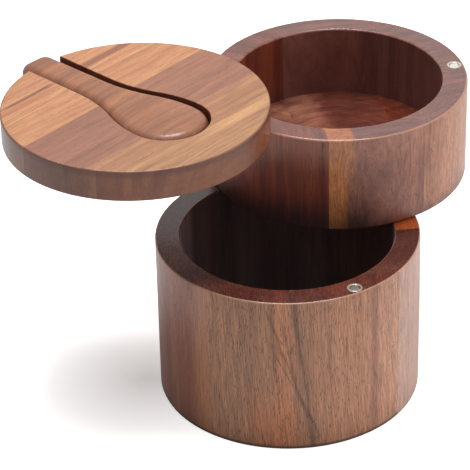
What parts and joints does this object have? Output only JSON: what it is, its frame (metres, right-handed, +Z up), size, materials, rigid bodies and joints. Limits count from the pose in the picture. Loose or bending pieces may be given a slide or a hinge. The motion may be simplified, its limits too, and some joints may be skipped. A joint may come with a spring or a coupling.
{
  "type": "salt box",
  "caption": "Round wooden salt box: a deep bowl, a shallow bowl and a thick lid that swivel on pins at the wall, with a spoon in a recess in the lid.",
  "frame": {"origin": "centre of the lower bowl's flat foot", "axes": "+Z up. The swivel axis stands on +Y and the lower bowl's rim magnet on -Y. At rest the upper bowl is swung 75 degrees and the lid -78.2 degrees from closed, about +Z. The box is closed at tier_swivel -75 and lid_swivel +153.2 degrees."},
  "size_m": [0.2055, 0.1543, 0.1284],
  "materials": {
    "lower_board_1": "oiled acacia, satin, front board, brown with dark pores",
    "lower_board_2": "oiled acacia, satin, reddish brown",
    "lower_board_3": "oiled acacia, satin, purple brown",
    "lower_board_4": "oiled acacia, satin, brown",
    "upper_board_1": "oiled acacia, satin, brown",
    "upper_board_2": "oiled acacia, satin, purple brown with a pale sapwood edge",
    "upper_board_3": "oiled acacia, satin, reddish brown",
    "lid_board_1": "oiled acacia, satin, light tan",
    "lid_board_2": "oiled acacia, satin, purple brown",
    "lid_board_3": "oiled acacia, satin, light orange tan with dark streaks",
    "spoon": "oiled acacia, satin, mid brown",
    "dowel_steel": "ground steel",
    "magnet_cup": "bright nickel plate",
    "magnet_disc": "dull nickel plate"
  },
  "bodies": {
    "lower_bowl": {"lower_board_1": "lower_board_1", "lower_board_2": "lower_board_2", "lower_board_3": "lower_board_3", "lower_board_4": "lower_board_4", "lower_dowel": "dowel_steel", "lower_rim_magnet_cup": "magnet_cup", "lower_rim_magnet_disc": "magnet_disc"},
    "upper_bowl": {"upper_board_1": "upper_board_1", "upper_board_2": "upper_board_2", "upper_board_3": "upper_board_3", "upper_dowel": "dowel_steel", "upper_foot_magnet_cup": "magnet_cup", "upper_foot_magnet_disc": "magnet_disc", "upper_rim_magnet_cup": "magnet_cup", "upper_rim_magnet_disc": "magnet_disc"},
    "lid": {"lid_board_1": "lid_board_1", "lid_board_2": "lid_board_2", "lid_board_3": "lid_board_3", "lid_magnet_cup": "magnet_cup", "lid_magnet_disc": "magnet_disc"},
    "spoon": {"spoon": "spoon"}
  },
  "joints": [
    {"name": "tier_swivel", "type": "hinge", "parent": "lower_bowl", "child": "upper_bowl", "pos_m": [0, 0.04911, 0.0714], "axis": [0, 0, 1], "continuous": true},
    {"name": "lid_swivel", "type": "hinge", "parent": "upper_bowl", "child": "lid", "pos_m": [0, 0.04911, 0.11395], "axis": [0, 0, 1], "continuous": true},
    {"name": "spoon_lift", "type": "slide", "parent": "lid", "child": "spoon", "axis": [0, 0, 1], "range_m": [0, 0.06]}
  ]
}
